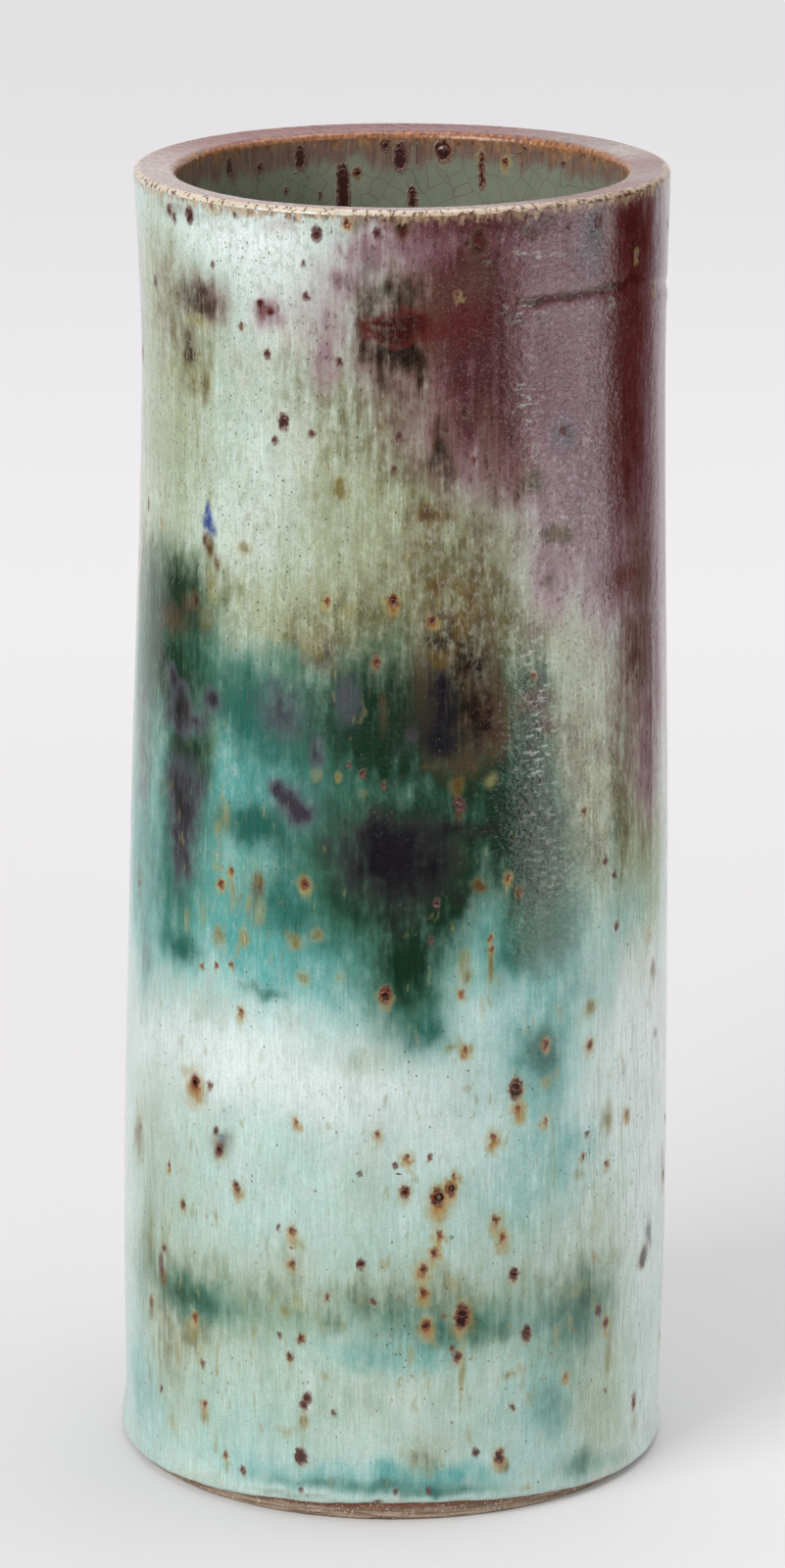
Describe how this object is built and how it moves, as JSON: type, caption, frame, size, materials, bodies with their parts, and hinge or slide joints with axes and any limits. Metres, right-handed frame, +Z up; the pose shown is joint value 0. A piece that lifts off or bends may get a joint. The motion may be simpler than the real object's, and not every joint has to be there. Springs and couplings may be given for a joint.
{
  "type": "stoneware cylinder vessel",
  "caption": "Tall hand-built stoneware cylinder vessel with a thick sloped lip, glazed inside and out down to a bare bevelled foot.",
  "frame": {"origin": "centre of the foot, on the surface that the vessel stands on", "axes": "+Z up the vessel, -Y towards the picture's front, +X to its right"},
  "size_m": [0.1272, 0.1269, 0.3],
  "materials": {
    "stoneware_body": "unglazed fired stoneware, sandy and matt",
    "joining_clay": "fired slip and coil of the same clay",
    "flambe_glaze": "glossy running copper glaze, pale aqua to teal, green, black and oxblood",
    "lip_glaze": "glossy, thin, breaking mauve and rust over the lip",
    "celadon_glaze": "glossy grey-green with fine crackle and iron spots",
    "celadon_pool": "glossy, gathered thick, fine crackle"
  },
  "bodies": {
    "root": {"clay_wall": "stoneware_body", "floor_disc": "stoneware_body", "luting_slip": "joining_clay", "corner_coil": "joining_clay", "outer_glaze": "flambe_glaze", "lip_glaze": "lip_glaze", "inner_glaze": "celadon_glaze", "floor_glaze": "celadon_pool"}
  },
  "joints": []
}
